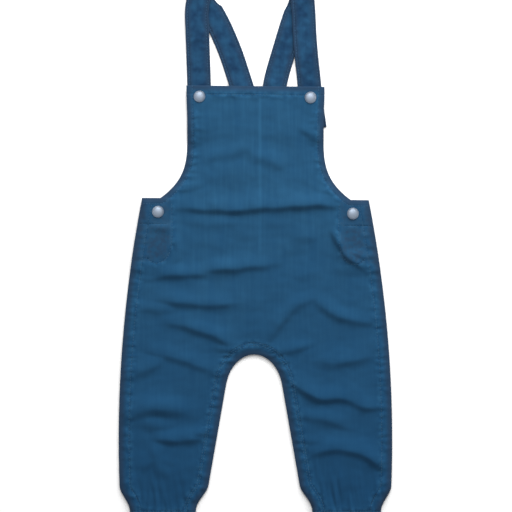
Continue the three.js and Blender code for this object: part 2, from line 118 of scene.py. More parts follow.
# Creases: each has its line through a few points, its height, and how far it spreads to the left
# of the line's run and to its right. A line that runs to the right has the shoulders on its left.
FOLD_COLUMNS = ("name", "line", "height", "upper", "lower")
FOLDS = [dict(zip(FOLD_COLUMNS, row)) for row in (
    ("waist", ((-98, 157), (-76, 157), (-52, 156), (-21, 155.5), (14, 158), (50, 161), (98, 161.5)),
     3.3, 13, 4.0),
    ("waist_right", ((38, 160), (60, 161.5), (92, 160.5)), 2.6, 11, 4.0),
    ("waist_echo", ((-76, 141), (-40, 139), (-8, 141)), 0.8, 9, 5),
    ("belly_outer", ((-120, 79), (-98, 82), (-80, 83.5), (-48, 85)), 2.3, 10, 4),
    ("belly_inner", ((-62, 86.5), (-44, 89), (-22, 90.5), (-6, 93), (22, 96)), 2.6, 10, 4.4),
    ("belly_faint", ((38, 127), (52, 125), (68, 125)), 0.9, 10, 6),
    ("belly_right", ((28, 86), (48, 82), (70, 85)), 0.7, 9, 6),
    ("hip_left", ((-114, 57), (-92, 54), (-66, 51.5), (-40, 51), (-16, 54)), 2.4, 10, 4.4),
    ("hip_faint", ((-138, 44), (-116, 46), (-92, 42)), 1.0, 9, 5),
    ("groin_left", ((-100, 30), (-84, 29), (-71, 26), (-48, 17), (-30, 6), (-18, 2)), 2.3, 9, 4.4),
    ("crotch_left", ((-46, 4), (-26, 1.5), (-12, 7)), 1.2, 7, 4),
    ("thigh_left", ((-118, 0), (-94, -7), (-72, -14), (-48, -22), (-30, -31)), 1.9, 10, 5.5),
    ("outer_left", ((-143, -29), (-117, -20), (-98, -8)), 1.5, 9, 5.5),
    ("calf_left", ((-130, -80), (-108, -84), (-84, -80)), 1.0, 10, 6),
    ("knee_left", ((-156, -74), (-140, -73), (-122, -68), (-104, -66.5), (-72, -71)), 2.9, 13, 7.5),
    ("shin_left", ((-112, -95), (-96, -97.5), (-78, -98), (-58, -95)), 2.9, 10, 4.4),
    ("inner_left", ((-72, -91.5), (-55, -89.5), (-42, -91)), 1.5, 7, 4),
    ("crotch_right", ((14, 4), (34, 1), (56, 5), (66, 9)), 1.4, 8, 4.4),
    ("groin_right", ((14, 10), (26, 25), (40, 42), (54, 54), (68, 60)), 2.1, 9, 5),
    ("hip_right", ((58, 62), (72, 50), (86, 40), (106, 34), (138, 32)), 2.0, 9, 5),
    ("thigh_right", ((54, -10), (78, -13.5), (108, -12.5), (138, 0)), 2.0, 11, 6),
    ("knee_right", ((28, -26), (40, -36), (56, -46), (74, -52), (99, -52.5), (121, -62), (147, -60)),
     3.1, 12, 4.2),
    ("calf_right", ((38, -69), (60, -73), (84, -78), (104, -86)), 1.5, 9, 5),
    ("shin_right", ((48, -98), (64, -100), (82, -97)), 0.9, 8, 5),
    ("ankle_right", ((66, -112), (82, -108.5), (98, -108), (118, -114), (140, -130)), 3.4, 12, 4.4),
    ("upright_left", ((-118, -98), (-115, -114), (-108, -138)), 1.7, 11, 7.5),
    ("ankle_left", ((-124, -130), (-108, -120), (-88, -124)), 1.1, 8, 5),
    ("bib_left", ((-54, 206), (-43, 213), (-26, 215), (-12, 220), (4, 212)), 1.3, 10, 6),
    ("bib_middle", ((-12, 219), (4, 211), (16, 207), (32, 202)), 1.2, 10, 6),
    ("bib_low", ((-60, 186), (-34, 189), (-10, 186)), 0.4, 11, 8),
    ("bib_side", ((46, 247), (58, 240), (71, 232)), 1.1, 7, 4),
    ("bib_corner", ((-58, 256), (-44, 252), (-30, 256)), 0.4, 8, 7),
    ("armhole_left", ((-90, 182), (-72, 178), (-54, 182)), 0.9, 8, 5),
    ("armhole_right", ((56, 183), (76, 176), (95, 180)), 0.9, 8, 5),
    ("placket_right", ((80, 140), (87, 126), (93, 115), (101, 105), (118, 93)), 2.9, 7, 2.6),
    ("placket_foot", ((99, 107), (110, 107.5), (121, 103)), 1.6, 5, 2.8),
    ("placket_left", ((-119, 136), (-104, 134), (-90, 135)), 0.9, 6, 4),
    ("placket_shelf", ((-92, 128), (-88, 112), (-94, 100)), 1.2, 5, 3),
)]
FOLD_BLEND = 3.0
FOLD_FADE = 9.0

STRAPS = {
    "strap_left": {
        "crease": -0.2,
        "stud": "bib_left",
        "back": (
            (-6.5, 264, OVER_BACK), (-10.5, 280, OVER_BACK), (-14.3, 292, OVER_BACK), (-20, 310, ON_FLOOR),
            (-29, 336, ON_FLOOR), (-43, 367, ON_FLOOR), (-61.5, 397, ON_FLOOR),
        ),
        "front": (
            (-61.5, 397, ON_FLOOR + 2 * STRAP_ROLL), (-64.5, 376, OVER_STRAP + 0.6), (-63.8, 352, OVER_STRAP),
            (-63, 328, 1.9), (-62.3, 308, 1.2), (-62, 297, 1.3), (-61.5, 283, BIB_STRAP_Z), (-61.2, 268, 1.3),
            (-60.8, 250, 1.0),
        ),
    },
    "strap_right": {
        "crease": 0.24,
        "stud": "bib_right",
        "back": (
            (21.5, 264, OVER_BACK), (19.5, 280, OVER_BACK), (20.6, 292, OVER_BACK), (24.4, 310, ON_FLOOR),
            (32, 336, ON_FLOOR), (41.5, 367, ON_FLOOR), (51.5, 395, ON_FLOOR),
        ),
        "front": (
            (51.5, 395, ON_FLOOR + 2 * STRAP_ROLL), (53, 374, OVER_STRAP + 0.6), (54.2, 350, OVER_STRAP),
            (56, 328, OVER_STRAP), (58.2, 308, 1.8), (59.3, 297, 1.4), (60.5, 283, BIB_STRAP_Z),
            (63, 266, 1.3), (65.4, 249, 1.0),
        ),
    },
}
STRAP_STITCH_IN = 2.8

# Rows of stitches, mm in from the edge they follow.
ARMHOLE_STITCH_IN = 6.5
HEM_STITCH_IN = 9.5
SEAM_STITCH_IN = 11.5
TWIN_ROW = 2.6
J_STITCH = ((92, 164), (91.5, 142), (92, 123), (95.5, 109), (103, 101), (112, 100), (119.5, 105))
TACK_ROW_Y, TACK_ROW_IN = 142.5, 97.0
STITCHES_CLEAR_STUD = 7.2
CREASE_HIGHLIGHT_X = 5.0
PLY_SHADE = "2B5777"


# ---------------------------------------------------------------- settings
def linear(hex_colour):
    """sRGB hex to linear RGBA."""
    parts = [int(hex_colour[i:i + 2], 16) / 255 for i in (0, 2, 4)]
    return (*[c / 12.92 if c <= 0.04045 else ((c + 0.055) / 1.055) ** 2.4 for c in parts], 1.0)


def swatch(name, description, hex_colour):
    return bpy.props.FloatVectorProperty(
        name=name, description=description, default=linear(hex_colour), size=4, min=0.0, max=1.0,
        subtype="COLOR")


def measure(name, description, default, low, high=10.0, precision=4):
    return bpy.props.FloatProperty(
        name=name, description=description, default=default, min=low, max=high, unit="LENGTH",
        precision=precision)


class DungareesCloth(bpy.types.PropertyGroup):
    """Sizes and colours of the cloth"""

    thickness: measure("Thickness", "Thickness of one layer of denim", CLOTH / 1000, 0.0004, 0.003)
    fold_depth: bpy.props.FloatProperty(
        name="Fold depth", description="Scale of the creases' height", default=1.3, min=0.0, max=2.0,
        subtype="FACTOR")
    pucker: measure(
        "Seam pucker", "Height of the puckers along a row of stitches", 0.0006, 0.0, 0.0015, 5)
    crinkle: measure("Crinkle", "Height of the small unevenness of laid cloth", 0.0008, 0.0, 0.002, 5)
    gather: measure("Gather", "Height of the gathers in the leg ends", 0.0026, 0.0, 0.004)
    indigo: swatch("Indigo", "Colour of the body cloth's usual shade", "1E4765")
    # Faded also paints the highlight down the bib.
    faded: swatch("Faded", "Colour of the lighter warp threads", "285778")
    # Deep is also the colour of the painted shade over the legs, darker towards the bottom.
    deep: swatch("Deep", "Colour of the darker warp threads", "113B5D")
    # This colour also paints the shade along every edge, where the cloth turns down away from the light,
    # besides colouring the doubled cloth's blotches.
    doubled_and_edge_shade: swatch("Doubled cloth and edge shade", "Colour of the denim where an edge is turned in", "22354B")
    strap_indigo: swatch("Strap indigo", "Colour of the straps", "1E4462")
    strap_deep: swatch("Strap deep", "Colour of the straps' darkest cloth", "112A46")


class DungareesStitching(bpy.types.PropertyGroup):
    """Sizes and colour of the stitching"""

    pitch: measure("Pitch", "Distance from one stitch to the next", 0.0031, 0.0015, 0.006)
    length: measure("Stitch length", "Length of thread that shows in one stitch", 0.0023, 0.001, 0.005)
    thread: measure("Thread", "Diameter of the sewing thread", 0.0006, 0.0003, 0.001, 5)
    colour: swatch("Thread colour", "Colour of the sewing thread", "1C4666")
    seed: bpy.props.IntProperty(
        name="Seed", description="Seed of the stitches' unevenness", default=7, min=0)


class DungareesStuds(bpy.types.PropertyGroup):
    """Sizes and finish of the press studs"""

    cap_radius: measure("Cap radius", "Radius of the domed cap", 0.0065, 0.004, 0.01)
    # The nickel's blue tint is a painted reflection of the blue cloth round the studs.
    nickel: swatch("Nickel", "Colour of the plated metal", "B2C0D2")
    segments: bpy.props.IntProperty(
        name="Segments", description="Faces round a press stud", default=56, min=16, max=128)


class DungareesStage(bpy.types.PropertyGroup):
    """Floor, light and camera"""

    floor: swatch("Floor", "Colour of the floor", "FAFAFA")
    key: bpy.props.FloatProperty(
        name="Key light", description="Power of the long low light beyond the shoulders", default=46.0,
        min=0.0, unit="POWER")
    overhead: bpy.props.FloatProperty(
        name="Overhead light", description="Power of the soft box overhead", default=12.0,
        min=0.0, unit="POWER")
    sky: bpy.props.FloatProperty(
        name="Sky", description="Strength of the even light all round", default=0.45, min=0.0)
    view_width: measure("View width", "Width of the camera's view at the cloth", 0.5632, 0.2)
    camera_height: measure("Camera height", "Height of the camera over the floor", 3.0, 1.0)


# ---------------------------------------------------------------- small helpers
def ramp(start, end, value):
    t = np.clip((value - start) / (end - start), 0.0, 1.0)
    return t * t * (3 - 2 * t)


def mix(a, b, share):
    return a + (b - a) * share


def lay(x, y):
    """The right side lies a little lower than the left."""
    return y - TILT * x * ramp(0.0, 150.0, y)


def place(points):
    """Garment millimetres to metres in the frame."""
    return (np.asarray(points, float) + (0.0, SHIFT_Y, 0.0)) / 1000


def noise_at(x, y, scale_x, scale_y, seed):
    """Smooth noise, about -1 to 1, whose bumps are scale_x by scale_y mm."""
    return np.array([
        noise.noise((px / scale_x, py / scale_y, seed)) for px, py in zip(x.ravel(), y.ravel())
    ]).reshape(x.shape)


def through(points, steps):
    """A smooth line through the points, with steps to each span."""
    p = np.asarray(points, float)
    p = np.vstack([2 * p[0] - p[1], p, 2 * p[-1] - p[-2]])
    line = []
    for a, b, c, d in zip(p, p[1:], p[2:], p[3:]):
        for t in np.arange(steps) / steps:
            line.append(0.5 * (2 * b + (c - a) * t + (2 * a - 5 * b + 4 * c - d) * t**2
                               + (3 * b - a - 3 * c + d) * t**3))
    return np.array(line + [p[-2]])


def even(line, step):
    """The same line with its points a fixed step apart."""
    run = np.concatenate([[0.0], np.cumsum(np.linalg.norm(np.diff(line, axis=0), axis=1))])
    at = np.linspace(0.0, run[-1], max(2, round(run[-1] / step) + 1))
    return np.column_stack([np.interp(at, run, line[:, k]) for k in range(line.shape[1])])


def inset(line, distance):
    """The line moved sideways, to the right of its run."""
    run = np.gradient(line, axis=0)
    run /= np.linalg.norm(run, axis=1)[:, None]
    return line + distance * np.column_stack([run[:, 1], -run[:, 0]])


def distance_to(x, y, spots):
    """Distance from each point to the nearest of the spots."""
    tree = kdtree.KDTree(len(spots))
    for i, (px, py) in enumerate(spots):
        tree.insert((px, py, 0.0), i)
    tree.balance()
    return np.array([tree.find((px, py, 0.0))[2] for px, py in zip(x.ravel(), y.ravel())]).reshape(x.shape)


def make_object(name, vertices, faces, material, layers=()):
    mesh = bpy.data.meshes.new(name)
    mesh.from_pydata([tuple(v) for v in vertices], [], faces)
    mesh.polygons.foreach_set("use_smooth", [True] * len(mesh.polygons))
    for layer, values in dict(layers).items():
        mesh.attributes.new(layer, "FLOAT", "POINT").data.foreach_set("value", np.asarray(values, float))
    mesh.materials.append(material)
    mesh.update()
    piece = bpy.data.objects.new(name, mesh)
    bpy.context.scene.collection.objects.link(piece)
    return piece


def dress(piece, slot, *nodes):
    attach(piece, "root")
    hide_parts(*nodes)


# ---------------------------------------------------------------- materials
def new_material(name):
    material = bpy.data.materials.new(name)
    material.use_nodes = True
    tree = material.node_tree
    tree.nodes.clear()
    return material, tree


def add_node(tree, kind, links=None, **settings):
    """A node with its settings, and values or links for its inputs."""
    node = tree.nodes.new(kind)
    for key, value in settings.items():
        setattr(node, key, value)
    for key, value in (links or {}).items():
        if isinstance(value, bpy.types.NodeSocket):
            tree.links.new(value, node.inputs[key])
        else:
            node.inputs[key].default_value = value
    return node


def cotton_denim(name, usual, faded, deep, turned, cloud_size=0.04, cloudiness=0.22):
    """Washed cotton denim, woven: dull and slightly fuzzy, with faint lengthwise streaks where the
    indigo warp is uneven, and darker in blotches where it lies doubled. Light and shade are painted
    into its colour too: painted shade along its edges, where the cloth turns down away from the light,
    painted shade over the legs, darker towards the bottom, and a faint painted highlight down the bib."""
    material, tree = new_material(name)
    spot = add_node(tree, "ShaderNodeTexCoord").outputs["Object"]
    height = add_node(tree, "ShaderNodeSeparateXYZ", {"Vector": spot}).outputs["Y"]
    press, seam, edge, double = (
        add_node(tree, "ShaderNodeAttribute", attribute_name=layer).outputs["Fac"]
        for layer in ("press", "seam", "edge", "double"))
    # Slubs are uneven warp threads, in runs about 3 mm wide and 45 mm long. Washing leaves clouds,
    # about 40 mm across on a panel and 12 mm on a strap. Wear beside a seam is in 5 mm blotches.
    threads = add_node(tree, "ShaderNodeMapping", {"Vector": spot, "Scale": (330.0, 22.0, 60.0)})
    slubs, clouds, fuzz, blotch = (
        add_node(tree, "ShaderNodeTexNoise", {
            "Vector": vector, "Scale": scale, "Detail": detail, "Roughness": roughness}).outputs["Fac"]
        for vector, scale, detail, roughness in (
            (threads.outputs[0], 1.0, 2.0, 0.55), (spot, 1 / cloud_size, 2.0, 0.5),
            (spot, 900.0, 2.0, 0.5), (spot, 210.0, 1.0, 0.5)))
    # Twill ribs are 0.9 mm apart and would not show, so they are drawn 1.7 mm apart.
    lean = add_node(tree, "ShaderNodeMapping", {"Vector": spot, "Rotation": (0.0, 0.0, math.radians(28))})
    ribs = add_node(tree, "ShaderNodeTexWave", {
        "Vector": lean.outputs[0], "Scale": 185.0, "Distortion": 1.2, "Detail": 1.0, "Detail Scale": 3.0},
        bands_direction="X").outputs["Fac"]

    # Shares: the painted shade over the legs, darker towards the bottom, the clouds, how near a seam
    # is, the doubled cloth's dark blotches, the painted shade along the edge, where the cloth turns down
    # away from the light, and the groove that a row of stitches pulls in.
    legs_painted_shade, cloudy, near_seam, dark_blotch, rim, groove = (
        add_node(tree, "ShaderNodeMapRange", {
            "Value": value, "From Min": near, "From Max": far, "To Min": first, "To Max": last},
            interpolation_type=curve).outputs[0]
        for value, near, far, first, last, curve in (
            (height, 0.06, -0.26, 0.0, 0.7, "LINEAR"), (clouds, 0.35, 0.7, 0.0, cloudiness, "LINEAR"),
            (seam, 0.5, 6.0, 0.45, 0.0, "LINEAR"), (blotch, 0.35, 0.65, 0.15, 0.62, "LINEAR"),
            (edge, 1.4, 9.0, 0.85, 0.0, "SMOOTHSTEP"), (seam, 0.2, 1.4, -1.0, 0.0, "SMOOTHSTEP")))
    doubled = add_node(tree, "ShaderNodeMath", {0: double, 1: dark_blotch}, operation="MULTIPLY")
    shade = add_node(tree, "ShaderNodeValToRGB", {"Fac": slubs})
    worn = add_node(tree, "ShaderNodeValToRGB", {"Fac": blotch})
    for ramp_node, low, high in ((shade, 0.30, 0.74), (worn, 0.38, 0.66)):
        ends = ramp_node.color_ramp.elements
        ends[0].position, ends[0].color = low, deep
        ends[1].position, ends[1].color = high, faded
    shade.color_ramp.elements.new(0.5).color = usual
    # Each finish goes over the last: the calmed warp, a painted highlight along a faint crease pressed
    # down the bib, painted shade over the legs, the clouds, the doubled cloth, the wear beside seams and
    # painted shade along the edge, which takes the doubled cloth's colour.
    colour = shade.outputs["Color"]
    for share, over in (
        (0.78, usual), (press, faded), (legs_painted_shade, deep), (cloudy, deep), (doubled.outputs[0], turned),
        (near_seam, worn.outputs["Color"]), (rim, turned),
    ):
        colour = add_node(
            tree, "ShaderNodeMix", {"Factor": share, 6: colour, 7: over}, data_type="RGBA").outputs[2]

    relief = ribs
    for layer in (fuzz, slubs):
        relief = add_node(tree, "ShaderNodeMath", {0: relief, 1: layer}, operation="ADD").outputs[0]
    weave_bump = add_node(tree, "ShaderNodeBump", {
        "Strength": 0.35, "Distance": 0.00016, "Height": relief})
    groove_bump = add_node(tree, "ShaderNodeBump", {
        "Strength": 0.8, "Distance": 0.0004, "Height": groove, "Normal": weave_bump.outputs[0]})
    surface = add_node(tree, "ShaderNodeBsdfPrincipled", {
        "Base Color": colour, "Roughness": 0.9, "IOR": 1.5, "Specular IOR Level": 0.15,
        "Sheen Weight": 0.03, "Sheen Roughness": 0.5, "Normal": groove_bump.outputs[0]})
    add_node(tree, "ShaderNodeOutputMaterial", {"Surface": surface.outputs[0]})
    return material


def sewing_thread(name, plain):
    """Spun polyester thread: a slight gloss on a twist of fine plies."""
    material, tree = new_material(name)
    spot = add_node(tree, "ShaderNodeTexCoord").outputs["Object"]
    # Plies are 0.2 mm wide and are drawn 0.5 mm apart.
    plies = add_node(tree, "ShaderNodeTexWave", {"Vector": spot, "Scale": 600.0, "Distortion": 2.0})
    tint = add_node(tree, "ShaderNodeMix", {
        "Factor": plies.outputs["Fac"], 6: plain, 7: linear(PLY_SHADE)}, data_type="RGBA")
    bump = add_node(tree, "ShaderNodeBump", {
        "Strength": 0.4, "Distance": 0.0001, "Height": plies.outputs["Fac"]})
    surface = add_node(tree, "ShaderNodeBsdfPrincipled", {
        "Base Color": tint.outputs[2], "Roughness": 0.55, "IOR": 1.55, "Normal": bump.outputs[0]})
    add_node(tree, "ShaderNodeOutputMaterial", {"Surface": surface.outputs[0]})
    return material


def nickel_plate(name, plain):
    """Brass plated with nickel and tumbled: bright, with a soft satin from handling."""
    material, tree = new_material(name)
    spot = add_node(tree, "ShaderNodeTexCoord").outputs["Object"]
    # Handling marks about 0.6 mm across.
    marks = add_node(tree, "ShaderNodeTexNoise", {"Vector": spot, "Scale": 1600.0, "Detail": 3.0})
    satin = add_node(tree, "ShaderNodeMapRange", {
        "Value": marks.outputs["Fac"], "From Min": 0.3, "From Max": 0.7, "To Min": 0.5, "To Max": 0.6})
    bump = add_node(tree, "ShaderNodeBump", {
        "Strength": 0.12, "Distance": 0.0001, "Height": marks.outputs["Fac"]})
    surface = add_node(tree, "ShaderNodeBsdfPrincipled", {
        # The plain colour's blue tint is a painted reflection of the blue cloth round the studs.
        "Base Color": plain, "Metallic": 1.0, "Roughness": satin.outputs[0],
        "Normal": bump.outputs[0]})
    add_node(tree, "ShaderNodeOutputMaterial", {"Surface": surface.outputs[0]})
    return material


def plain_floor(name, plain):
    """Matt studio board."""
    material, tree = new_material(name)
    spot = add_node(tree, "ShaderNodeTexCoord").outputs["Object"]
    grain = add_node(tree, "ShaderNodeTexNoise", {"Vector": spot, "Scale": 300.0})
    bump = add_node(tree, "ShaderNodeBump", {
        "Strength": 0.02, "Distance": 0.0002, "Height": grain.outputs["Fac"]})
    surface = add_node(tree, "ShaderNodeBsdfPrincipled", {
        "Base Color": plain, "Roughness": 0.9, "Normal": bump.outputs[0]})
    add_node(tree, "ShaderNodeOutputMaterial", {"Surface": surface.outputs[0]})
    return material


def cached(name, maker, *finish):
    return bpy.data.materials.get(name) or maker(name, *finish)


def body_denim():
    s = bpy.context.scene.dungarees_cloth
    return cached("washed indigo denim", cotton_denim, s.indigo, s.faded, s.deep, s.doubled_and_edge_shade)


def strap_denim():
    s = bpy.context.scene.dungarees_cloth
    return cached("washed indigo denim strap", cotton_denim, s.strap_indigo, s.indigo, s.strap_deep,
                  s.doubled_and_edge_shade, 0.012, 0.9)


# ---------------------------------------------------------------- the cut of the panels
def drawn_in(y):
    return 1 - ramp(CUFF_TOP, NARROW_BELOW, y)


def side_seam(y):
    taper = (y - HIP_LEVEL) / (SIDE_TOP - HIP_LEVEL)
    return mix(HIP_HALF - (HIP_HALF - WAIST_HALF) * taper**2, CUFF_OUTER, drawn_in(y))


def middle(y):
    return CROTCH_OFFSET * (1 - ramp(0.0, CROTCH_STRAIGHT_BY, y))


def inner_edge(y):
    """Distance of the inner edge from the middle: the rounded crotch, then the inside leg."""
    below = np.minimum(y, 0.0)
    arch = 1 - np.minimum(-below / CROTCH_DEPTH, 1.0)
    half = CROTCH_HALF * np.sqrt(1 - arch**2.5) - CROTCH_FLARE * below
    return np.where(y < 0, mix(half, CUFF_INNER, drawn_in(y)), 0.0)


def bib_edge(y):
    drop = np.clip((ARMHOLE_TOP - y) / (ARMHOLE_TOP - SIDE_TOP), 0.0, 1.0)
    return BIB_HALF + (ARMHOLE_FOOT - BIB_HALF) * drop**ARMHOLE_SWEEP + BIB_FLARE * ramp(255.0, 290.0, y)


def back_edge(y):
    rise = (BACK_TOP - y) / (BACK_TOP - SIDE_TOP)
    return ARMHOLE_FOOT - (ARMHOLE_FOOT - BACK_HALF) * np.sqrt(np.maximum(0.0, 1 - rise**2))


# ---------------------------------------------------------------- rows of stitches on the front
def down(edge, top, bottom):
    """The edge's line from top to bottom, on the right-hand side."""
    y = np.arange(top, bottom, -1.0)
    return np.column_stack([edge(y), y])


def mirrored(line, side, about=0.0):
    return np.column_stack([about + side * (line[:, 0] - about), line[:, 1]])


def panel_rows(edge, top, centre=lambda y: 0.0):
    """Rows of stitches on a panel: top hem, armholes, side seams, inside legs and ankles."""
    hem_y = top - HEM_STITCH_IN
    half = float(edge(hem_y)) - 1.5
    hem_x = np.array([-half, half]) + centre(hem_y)
    rows = [np.column_stack([hem_x, [hem_y, hem_y]])]
    shelf_x = np.arange(ARMHOLE_FOOT + 1, WAIST_HALF - 1)
    shelf = np.column_stack([shelf_x, np.full_like(shelf_x, SIDE_TOP)])
    armhole = np.vstack([down(edge, top - 1, SIDE_TOP), shelf])
    seam = down(side_seam, SIDE_TOP - ARMHOLE_STITCH_IN, HEM + 2)
    arch_y = -CROTCH_DEPTH * (1 - np.cos(np.linspace(0.03, math.pi / 2, 40)))
    leg_y = np.concatenate([arch_y, np.arange(-CROTCH_DEPTH - 1, HEM + 2, -1.0)])
    inside = np.column_stack([CROTCH_OFFSET + inner_edge(leg_y), leg_y])
    inside = np.vstack([(CROTCH_OFFSET, 0.0), inside])
    for side in (-1, 1):
        around = mirrored(inset(armhole, ARMHOLE_STITCH_IN), side)
        around[:, 0] += [centre(y) for y in around[:, 1]]
        rows.append(around)
        rows.append(mirrored(inset(seam, SEAM_STITCH_IN), side))
        for step_in in (SEAM_STITCH_IN - TWIN_ROW / 2, SEAM_STITCH_IN + TWIN_ROW / 2):
            rows.append(mirrored(inset(inside, -step_in), side, CROTCH_OFFSET))
        cuff_in = CROTCH_OFFSET * side + float(inner_edge(CUFF_TOP)) + 1.5
        cuff_out = float(side_seam(CUFF_TOP)) - 1.5
        rows.append(mirrored(np.array([(cuff_in, CUFF_TOP), (cuff_out, CUFF_TOP)]), side))
    return rows


def front_rows():
    """Every row of stitches on the front, with those that hold the underlaps."""
    rows = panel_rows(bib_edge, BIB_TOP)
    tack_end = float(side_seam(TACK_ROW_Y)) - 2
    for side in (-1, 1):
        rows.append(mirrored(through(J_STITCH, 8), side))
        rows.append(mirrored(np.array([(TACK_ROW_IN, TACK_ROW_Y), (tack_end, TACK_ROW_Y)]), side))
    return [even(row, 1.0) for row in rows]


def back_shift(y):
    return BACK_SHIFT * float(ramp(SIDE_TOP, BACK_TOP, y))


def back_rows():
    return [even(row, 1.0) for row in panel_rows(back_edge, BACK_TOP, back_shift)]


# ---------------------------------------------------------------- how the cloth lies
def along_and_across(line, x, y):
    """Place along a line and distance to its left, for points whose nearest stretch is found."""
    best = np.full(x.shape, np.inf)
    along = np.zeros_like(x)
    across = np.zeros_like(x)
    start = 0.0
    for i, ((ax, ay), (bx, by)) in enumerate(zip(line, line[1:])):
        dx, dy = bx - ax, by - ay
        length = math.hypot(dx, dy)
        t = ((x - ax) * dx + (y - ay) * dy) / length**2
        on = np.clip(t, 0.0, 1.0)
        away = np.hypot(x - ax - on * dx, y - ay - on * dy)
        near = away < best
        free = np.clip(t, -99.0 if i == 0 else 0.0, 99.0 if i == len(line) - 2 else 1.0)
        best = np.where(near, away, best)
        along = np.where(near, start + free * length, along)
        across = np.where(near, ((y - ay) * dx - (x - ax) * dy) / length, across)
        start += length
    return along / start, across


def fold_lift(x, y):
    """Height of the creases at each point, blended softly where they meet."""
    total = np.zeros_like(x)
    uneven = 1 + 0.45 * noise_at(x, y, 16.0, 30.0, 12.6)
    x, y = x + 1.8 * noise_at(x, y, 30.0, 22.0, 6.3), y + 1.5 * noise_at(x, y, 20.0, 24.0, 3.8)
    for fold in FOLDS:
        along, across = along_and_across(through(fold["line"], 5), x, y)
        across = across - fold["lower"]
        ends = ramp(-0.18, 0.36, along) * (1 - ramp(0.64, 1.18, along)) * uneven
        spread = np.where(across > 0, fold["upper"], fold["lower"])
        total += (fold["height"] * ends * np.exp(-(across / spread) ** 2)) ** FOLD_BLEND
    return total ** (1 / FOLD_BLEND) * bpy.context.scene.dungarees_cloth.fold_depth


def gather_share(x, y):
    top = np.where(x > 0, GATHER_TOP + 16, GATHER_TOP + 4)
    return 1 - ramp(CUFF_TOP, top, y)


def on_placket(x, y):
    inner = WAIST_HALF - PLACKET_WIDTH
    below = PLACKET_BOTTOM
    return ramp(inner - PLACKET_SLOPE, inner, np.abs(x)) * ramp(below - PLACKET_SLOPE, below, y)


def within_placket(x, y):
    """How far inside the stitched outline of an underlap a point is."""
    corner = 12.0
    right = corner - (np.abs(x) - J_STITCH[1][0])
    low = corner - (y - J_STITCH[-2][1])
    return corner - np.hypot(np.maximum(right, 0.0), np.maximum(low, 0.0))


def to_studs(x, y, height, key):
    """Cloth is level round a press stud, at that stud's height."""
    for stud in STUDS.values():
        away = np.hypot(x - stud["x"], y - stud["y"])
        height = mix(stud[key], height, ramp(STUD_FLAT, STUD_REACH, away))
    return height


def gathers(x, y):
    """Uneven upright crinkles that the elastic draws into a leg end."""
    depth = bpy.context.scene.dungarees_cloth.gather * 1000
    fine = noise_at(x + 0.12 * y, y, 4.2, 30.0, 3.1)
    broad = noise_at(x - 0.2 * y, y, 9.0, 55.0, 8.4)
    return depth * gather_share(x, y) * np.clip(0.5 + 0.8 * fine + 0.6 * broad, 0.0, 1.5)


def front_height(x, y, edge, seam):
    s = bpy.context.scene.dungarees_cloth
    within = back_edge(np.maximum(y, SIDE_TOP)) - np.abs(x - BACK_SHIFT)
    on_back = np.where(y > SIDE_TOP, ramp(*ON_BACK_EDGE, within), 1.0)
    resting = mix(CLOTH / 2, SEAM_Z, on_back)
    lifted = np.maximum(
        mix(resting, OVER_TAIL_Z, ramp(*ON_STRAP_TAIL, y)),
        mix(resting, UNDERLAP_Z + CLOTH + GAP, on_placket(x, y)),
    )
    soft = (1 - gather_share(x, y)) * (1 - 0.85 * ramp(*BIB_CALMS, y))
    puff = PUFF_HEIGHT * (1 - np.exp(-edge / PUFF_REACH)) * soft
    rise = fold_lift(x, y) * ramp(0.0, FOLD_FADE, edge)
    inland = ramp(0.0, 6.0, edge)
    crinkle = s.crinkle * 1000 * inland * (
        0.6 + 0.7 * noise_at(x, y, 26.0, 15.0, 1.7) + 0.35 * noise_at(x, y, 9.0, 7.0, 5.2))
    swell = SWELL * (1 + noise_at(x, y, 70.0, 42.0, 7.9)) * ramp(0.0, 30.0, edge) * soft
    ripple = noise_at(x, y, 4.6, 4.2, 9.6) + 0.6 * noise_at(x, y, 9.0, 5.0, 2.4)
    pucker = s.pucker * 1000 * (0.9 + ripple) * np.exp(-(seam / 4.5) ** 2) * ramp(0.0, 2.0, edge)
    tucks = np.maximum(0.0, noise_at(x, y, 15.0, 4.8, 4.9) + 0.15)
    drawn = s.pucker * 1000 * 2.2 * tucks * np.exp(-((edge - 8) / 7.0) ** 2) * ramp(0.0, 3.0, edge)
    sunk = SEAM_DIP * np.exp(-(seam / 1.4) ** 2)
    high = lifted + puff + swell + rise + np.maximum(crinkle, 0.0) + pucker + drawn - sunk * inland
    return to_studs(x, y, high + gathers(x, y) * ramp(0.0, 3.0, edge), "cloth")


def back_height(x, y, edge, seam):
    rise = fold_lift(x, y) * ramp(0.0, FOLD_FADE, edge) * (1 - on_placket(x, y))
    return CLOTH / 2 + np.maximum(0.0, BACK_SHARE * rise - LOW_FOLD)


# ---------------------------------------------------------------- sheets and shells
RIM = np.array([0.0, 0.3, 0.7, 1.3, 2.1])


def stretch(start, end, step, fine_start=False, fine_end=False):
    """Levels from start up to, not including, end, with close ones beside a free edge."""
    head = start + RIM if fine_start else np.array([start])
    tail = end - RIM[:0:-1] if fine_end else np.array([])
    upper = tail[0] if len(tail) else end
    count = max(1, round((upper - head[-1]) / step))
    inner = np.linspace(head[-1], upper, count + 1)[1:-1]
    return np.concatenate([head, inner, tail])


def levels(top, step, arch_steps):
    turn = np.linspace(math.pi / 2, 0, arch_steps, endpoint=False)
    arch = -CROTCH_DEPTH * (1 - np.cos(turn))
    return np.concatenate([
        stretch(HEM, -CROTCH_DEPTH, step, fine_start=True), arch,
        stretch(0.0, SIDE_TOP, step, fine_start=True, fine_end=True), [SIDE_TOP],
        stretch(SIDE_TOP, top, step, fine_end=True)[1:], [top],
    ])


def shares(step):
    """Columns from the middle to the armhole's foot, and from there to the side seam."""
    foot = ARMHOLE_FOOT / WAIST_HALF
    main = stretch(0.0, ARMHOLE_FOOT, step, fine_start=True, fine_end=True) / WAIST_HALF
    side = stretch(ARMHOLE_FOOT, WAIST_HALF, step, fine_end=True) / WAIST_HALF
    return foot, len(main), np.concatenate([main, side, [1.0]])


